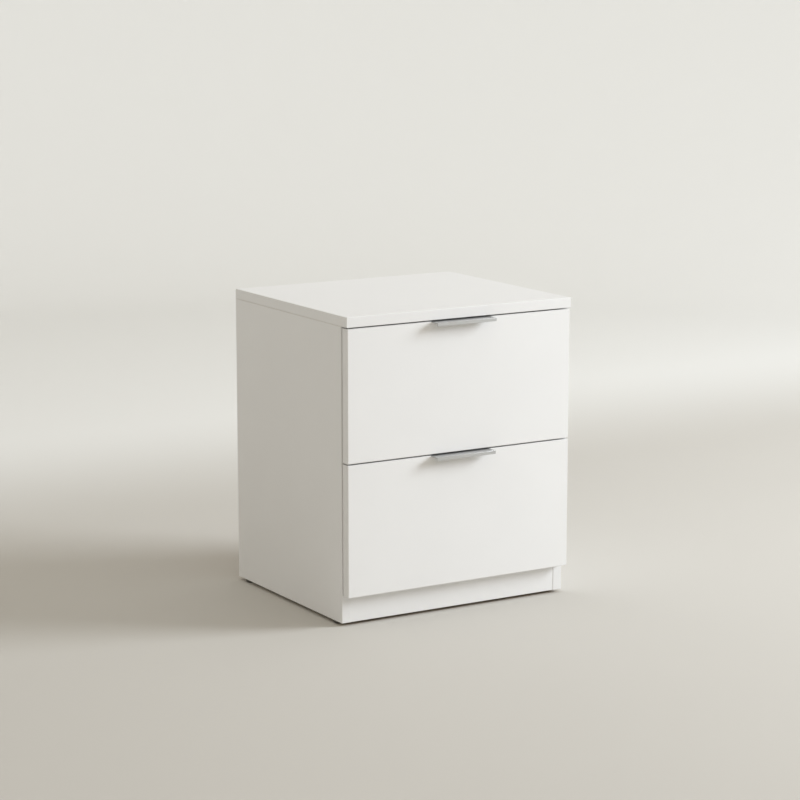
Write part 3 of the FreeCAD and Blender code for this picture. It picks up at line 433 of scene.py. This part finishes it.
def painted_floor(studio):
    """Dead matt paint on a seamless floor and wall, a little uneven from the roller.

    The paint fades from the floor's colour to the wall's, behind the cabinet and up the curve.
    """
    material, tree, places = new_material("matt_studio_paint")
    cloud = waves(tree, places, pitch=500 * MM, detail=3.0)
    floor, rough = worn(tree, cloud, studio.floor, darkest=0.975, rough=(0.8, 0.9))
    back, up = (add_node(tree, "SeparateXYZ", {"Vector": places}, axis) for axis in (1, 2))
    away = add_node(tree, "Math", {0: back, 1: up}, operation="MAXIMUM")
    faded = add_node(tree, "MapRange", {
        "Value": away, "From Min": studio.near, "From Max": studio.far},
        interpolation_type="SMOOTHSTEP")
    colour = add_node(tree, "Mix", {0: faded, 6: floor, 7: studio.wall}, 2, data_type="RGBA")
    stipple = waves(tree, places, pitch=3 * MM)
    finish(tree, colour, rough, stipple, 0.03 * MM, {"IOR": 1.45, "Specular IOR Level": 0.2})
    return material


def paint(names, material):
    """Give CAD nodes a material in place of their plain one."""
    for name in names:
        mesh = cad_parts[name].data
        mesh.materials.clear()
        mesh.materials.append(material)


# Shapes


def grid_faces(rows, columns, wrap_rows, wrap_columns):
    """Four-cornered faces between neighbouring points of a rows by columns grid."""
    down = np.arange(rows if wrap_rows else rows - 1)[:, None]
    across = np.arange(columns if wrap_columns else columns - 1)[None, :]
    next_down, next_across = (down + 1) % rows, (across + 1) % columns
    corners = [down * columns + across, down * columns + next_across,
               next_down * columns + next_across, next_down * columns + across]
    return np.stack(corners, axis=-1).reshape(-1, 4)


@contextlib.contextmanager
def editing(mesh):
    """Open a mesh for editing, and put the result back."""
    shaped = bmesh.new()
    shaped.from_mesh(mesh)
    yield shaped
    shaped.to_mesh(mesh)
    shaped.free()


def new_object(name, points, faces, material):
    """An object at the origin, with its place in its mesh, shaded smoothly."""
    mesh = bpy.data.meshes.new(name)
    mesh.from_pydata(points.reshape(-1, 3).tolist(), [], faces.tolist())
    mesh.polygons.foreach_set("use_smooth", np.ones(len(mesh.polygons), bool))
    mesh.materials.append(material)
    made = bpy.data.objects.new(name, mesh)
    bpy.context.collection.objects.link(made)
    return made


def make_piece(name, points, faces, material, body, node, sharp):
    """A closed piece that rides on a body and stands for a CAD node.

    Its edges look sharp where they turn by more than the angle sharp.
    """
    piece = new_object(name, points, faces, material)
    with editing(piece.data) as shaped:
        bmesh.ops.recalc_face_normals(shaped, faces=shaped.faces)
    piece.data.set_sharp_from_angle(angle=sharp)
    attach(piece, body)
    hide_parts(node)
    return piece


def carried_profile(corners, thickness, plane, stations):
    """Points and faces of a profile of even thickness, carried along the third axis.

    The line runs through the middle of the metal.  Each corner goes half the thickness to
    both sides along the mitre, which is the sum of the two runs' normals over one plus their
    product.  Each pair of facing points closes the profile's two long edges and its two ends.
    """
    corners = np.array(corners, float)
    runs = np.diff(corners, axis=0)
    along = runs / np.linalg.norm(runs, axis=1)[:, None]
    left = np.stack([-along[:, 1], along[:, 0]], axis=1)
    before, after = np.concatenate([left[:1], left]), np.concatenate([left, left[-1:]])
    mitre = (before + after) / (1 + np.sum(before * after, axis=1))[:, None] * thickness / 2
    ring = np.concatenate([corners + mitre, (corners - mitre)[::-1]])
    points = np.zeros((len(stations), len(ring), 3))
    points[:, :, plane[0]] = ring[None, :, 0]
    points[:, :, plane[1]] = ring[None, :, 1]
    points[:, :, 3 - sum(plane)] = np.array(stations)[:, None]
    count = len(corners)
    sides = grid_faces(len(stations), 2 * count, False, True)
    near = np.arange(count - 1)
    far = 2 * count - 1 - near
    cap = np.stack([near, near + 1, far - 1, far], axis=1)
    return points, np.concatenate([sides, cap, cap + (len(stations) - 1) * 2 * count])


def turned(profile, middle, steps=96):
    """Points and faces of a closed outline of (place along X, radius) turned about X.

    From the middle, a point lies its own place along the axis, and its radius times the
    cosine and the sine of the angle across it.
    """
    along, radius = np.array(profile, float).T
    angle = np.linspace(0, 2 * math.pi, steps, endpoint=False)
    points = np.stack(np.broadcast_arrays(along[:, None], radius[:, None] * np.cos(angle),
                                          radius[:, None] * np.sin(angle)), axis=-1)
    return points + middle, grid_faces(len(along), steps, True, True)


# Operators


class NIGHTSTAND_OT_boards(bpy.types.Operator):
    """Finish the case boards and the drawer fronts in pressed melamine."""

    bl_idname = "nightstand.boards"
    bl_label = "Case boards and fronts"

    def execute(self, context):
        boards = context.scene.nightstand_boards
        for node in ("top_panel", "bottom_panel", "side_panel_left", "side_panel_right",
                     "plinth_front", "drawer_front_lower", "drawer_front_upper"):
            paint([node], coated_board("melamine_on_chipboard_" + node, node, boards))
        return {"FINISHED"}


class NIGHTSTAND_OT_drawer_boards(bpy.types.Operator):
    """Finish the drawers' sides and backs, whose white foil wraps round their long edges."""

    bl_idname = "nightstand.drawer_boards"
    bl_label = "Drawer sides and backs"

    def execute(self, context):
        boards = context.scene.nightstand_boards
        for level in LEVELS:
            for part in ("side_left", "side_right", "back"):
                node = f"drawer_{part}_{level}"
                paint([node], coated_board("foil_on_chipboard_" + node, node, boards, True))
        return {"FINISHED"}


class NIGHTSTAND_OT_bands(bpy.types.Operator):
    """Finish the glued edge bands."""

    bl_idname = "nightstand.bands"
    bl_label = "Edge bands"

    def execute(self, context):
        boards = context.scene.nightstand_boards
        # The axes along which each set of bands faces outwards.
        outwards = {"top_edge_bands": (0, 1), "front_edge_bands_lower": (0, 2),
                    "front_edge_bands_upper": (0, 2), "case_edge_bands": (1,)}
        for node, across in outwards.items():
            paint([node], edge_band("extruded_abs_band_" + node, boards, node, across))
        return {"FINISHED"}


class NIGHTSTAND_OT_hardboard(bpy.types.Operator):
    """Finish the back panel and the drawer bases."""

    bl_idname = "nightstand.hardboard"
    bl_label = "Back panel and drawer bases"

    def execute(self, context):
        boards = context.scene.nightstand_boards
        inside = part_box("back_panel")[0][1]
        paint(["back_panel"], hardboard("screen_pressed_hardboard_back", boards, 1, inside))
        for level in LEVELS:
            node = "drawer_base_" + level
            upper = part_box(node)[1][2]
            paint([node], hardboard("screen_pressed_hardboard_" + node, boards, 2, upper))
        return {"FINISHED"}


class NIGHTSTAND_OT_pulls(bpy.types.Operator):
    """Build the two aluminium edge pulls."""

    bl_idname = "nightstand.pulls"
    bl_label = "Edge pulls"

    def execute(self, context):
        fittings = context.scene.nightstand_fittings
        material = anodised_aluminium(fittings)
        half = fittings.pull_sheet / 2
        sharp = math.radians(40)
        for level in LEVELS:
            node = "handle_" + level
            low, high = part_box(node)
            front, rear, upper = low[1] + half, high[1] - half, high[2] - half
            corners = [(front, high[2] - fittings.pull_lip), (front, upper), (rear, upper),
                       (rear, low[2])]
            points, faces = carried_profile(
                corners, fittings.pull_sheet, (1, 2), [low[0], high[0]])
            piece = make_piece("edge_pull_" + level, points, faces, material,
                               "drawer_" + level, node, sharp)
            bevel = piece.modifiers.new("eased_edges", "BEVEL")
            bevel.width, bevel.segments = fittings.ease, 3
            bevel.limit_method, bevel.angle_limit = "ANGLE", sharp
        return {"FINISHED"}


class NIGHTSTAND_OT_runners(bpy.types.Operator):
    """Finish the steel runners and turn their rollers."""

    bl_idname = "nightstand.runners"
    bl_label = "Drawer runners"

    def execute(self, context):
        fittings = context.scene.nightstand_fittings
        ends = [f"{hand}_{level}" for hand in HANDS for level in LEVELS]
        paint([f"{side}_rail_{end}" for side in ("case", "drawer") for end in ends],
              powder_coated_steel(fittings))
        material = moulded_nylon(fittings)
        for side in ("case", "drawer"):
            for end in ends:
                self.roller(f"{side}_roller_{end}", fittings, material)
        return {"FINISHED"}

    def roller(self, node, fittings, material):
        """A dished roller: hub and rim stand proud of a thin web, and the tread is rounded."""
        low, high = (np.array(corner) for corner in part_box(node))
        middle = (low + high) / 2
        half, radius = (high - low)[0] / 2, (high - low)[2] / 2
        hub = fittings.roller_bore + fittings.roller_hub
        rim = radius - fittings.roller_rim
        dish = half - fittings.roller_dish
        round_off, ease = 0.8 * MM, 0.15 * MM
        face = [(half - ease, fittings.roller_bore), (half, fittings.roller_bore + ease),
                (half, hub - ease), (half - ease, hub), (dish + ease, hub + ease),
                (dish, hub + 2 * ease), (dish, rim - 2 * ease), (dish + ease, rim - ease),
                (half - ease, rim), (half, rim + ease)]
        quarter = np.linspace(0, math.pi / 2, 7)
        shoulder = np.stack([half - round_off + round_off * np.cos(quarter),
                             radius - round_off + round_off * np.sin(quarter)], axis=1)
        right = np.concatenate([face, shoulder])
        profile = np.concatenate([right, (right * (-1, 1))[::-1]])
        points, faces = turned(profile, middle)
        make_piece(f"nylon_{node}", points, faces, material, node, node,
                   math.radians(50))


class NIGHTSTAND_OT_fasteners(bpy.types.Operator):
    """Finish the screws, nails, bolts, cams, axles, dowels and glides."""

    bl_idname = "nightstand.fasteners"
    bl_label = "Fasteners and glides"

    def execute(self, context):
        boards = context.scene.nightstand_boards
        fittings = context.scene.nightstand_fittings
        plated = [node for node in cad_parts
                  if any(word in node for word in ("screws", "nails", "axles", "bolts"))]
        paint(plated, zinc_plated_steel(fittings))
        paint([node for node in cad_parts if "_cams" in node], die_cast_zinc(fittings))
        paint(["case_dowels"], turned_beech("turned_beech_case", boards, 0))
        paint(["drawer_dowels_" + level for level in LEVELS],
              turned_beech("turned_beech_drawer", boards, 1))
        paint(["glides"], moulded_polyethylene(fittings))
        return {"FINISHED"}


class NIGHTSTAND_OT_studio(bpy.types.Operator):
    """Build the floor, backdrop, soft box, fill light and camera."""

    bl_idname = "nightstand.studio"
    bl_label = "Studio"

    def execute(self, context):
        studio = context.scene.nightstand_studio
        self.backdrop(studio)
        self.lamps(studio)
        world = bpy.data.worlds.new("fill_light")
        world.use_nodes = True
        colour, strength = world.node_tree.nodes["Background"].inputs[:2]
        colour.default_value, strength.default_value = (*studio.sky, 1), studio.fill
        context.scene.world = world
        camera = bpy.data.objects.new("camera", bpy.data.cameras.new("camera"))
        camera.data.lens = studio.lens
        camera.data.clip_start, camera.data.clip_end = 0.05, 50
        camera.location = studio.camera
        camera.rotation_euler = (math.pi / 2 - studio.tilt, 0, -studio.heading)
        context.collection.objects.link(camera)
        context.scene.camera = camera
        context.scene.view_settings.view_transform = "Standard"
        return {"FINISHED"}

    def backdrop(self, studio):
        """A floor that turns up into a wall: a line turned about the upright through the middle.

        The line runs out flat, and up through a quarter circle.  One parameter goes along it and
        the other goes round.  Towards the soft box the line's rise is multiplied by a smooth step
        of the sine of the turn, down to nothing, and what was wall there becomes more floor.
        """
        bend = np.linspace(0, math.pi / 2, 24)
        flat = np.linspace(0, studio.room, 16)[:-1]
        wall = np.linspace(studio.sweep, studio.wall_top, 6)[1:]
        foot = np.full(len(wall), studio.room + studio.sweep)
        out = np.concatenate([flat, studio.room + studio.sweep * np.sin(bend), foot])
        up = np.concatenate([0 * flat, studio.sweep * (1 - np.cos(bend)), wall])
        spare_floor = 6
        spare = np.concatenate([0 * flat, 0 * bend,
                                np.linspace(0, spare_floor, len(wall) + 1)[1:]])
        turn = np.linspace(0, 2 * math.pi, 128, endpoint=False)
        fully_open = 0.65
        share = np.clip((np.sin(turn) + fully_open) / fully_open, 0, 1)
        raised = share ** 2 * (3 - 2 * share)
        reach = out[:, None] + (1 - raised) * spare[:, None]
        points = np.stack([reach * np.cos(turn), reach * np.sin(turn), up[:, None] * raised],
                          axis=-1)
        faces = grid_faces(len(out), len(turn), False, True)
        floor = new_object("studio_floor", points, faces, painted_floor(studio))
        with editing(floor.data) as shaped:
            bmesh.ops.remove_doubles(shaped, verts=shaped.verts, dist=MM)
        floor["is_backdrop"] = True

    def lamps(self, studio):
        """A soft box in front on the right, turned to the cabinet's middle, and a panel above."""
        middle = np.mean(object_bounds(), axis=0)
        towards = np.array([math.sin(studio.key_heading) * math.cos(studio.key_height),
                            -math.cos(studio.key_heading) * math.cos(studio.key_height),
                            math.sin(studio.key_height)])
        kinds = (
            ("soft_box", "DISK", studio.box, studio.key, middle + towards * studio.reach,
             (math.pi / 2 - studio.key_height, 0, studio.key_heading)),
            ("overhead_panel", "SQUARE", studio.panel, studio.overhead,
             (0, 0, studio.panel_height), (0, 0, 0)))
        for name, shape, size, power, place, turn in kinds:
            light = bpy.data.lights.new(name, "AREA")
            light.shape, light.size, light.energy, light.color = shape, size, power, studio.day
            lamp = bpy.data.objects.new(name, light)
            lamp.location, lamp.rotation_euler = place, turn
            bpy.context.collection.objects.link(lamp)


class NIGHTSTAND_PT_panel(bpy.types.Panel):
    """Lists the steps in the order in which they run."""

    bl_label = "Nightstand"
    bl_idname = "NIGHTSTAND_PT_panel"
    bl_space_type = "VIEW_3D"
    bl_region_type = "UI"
    bl_category = "Nightstand"

    def draw(self, context):
        for operator in OPERATORS:
            self.layout.operator(operator.bl_idname)
        for group in GROUPS:
            box = self.layout.box()
            settings = getattr(context.scene, group)
            for word in settings.__annotations__:
                box.prop(settings, word)


GROUPS = {"nightstand_boards": NightstandBoards, "nightstand_fittings": NightstandFittings,
          "nightstand_studio": NightstandStudio}
OPERATORS = (NIGHTSTAND_OT_boards, NIGHTSTAND_OT_drawer_boards, NIGHTSTAND_OT_bands,
             NIGHTSTAND_OT_hardboard, NIGHTSTAND_OT_pulls, NIGHTSTAND_OT_runners,
             NIGHTSTAND_OT_fasteners, NIGHTSTAND_OT_studio)
CLASSES = (*GROUPS.values(), *OPERATORS, NIGHTSTAND_PT_panel)


def register():
    for entry in CLASSES:
        bpy.utils.register_class(entry)
    for name, group in GROUPS.items():
        setattr(bpy.types.Scene, name, bpy.props.PointerProperty(type=group))


def unregister():
    for name in GROUPS:
        delattr(bpy.types.Scene, name)
    for entry in reversed(CLASSES):
        bpy.utils.unregister_class(entry)


def main():
    """Run every step."""
    register()
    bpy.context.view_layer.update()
    for operator in OPERATORS:
        family, step = operator.bl_idname.split(".")
        getattr(getattr(bpy.ops, family), step)()


if __name__ == "__main__":
    main()
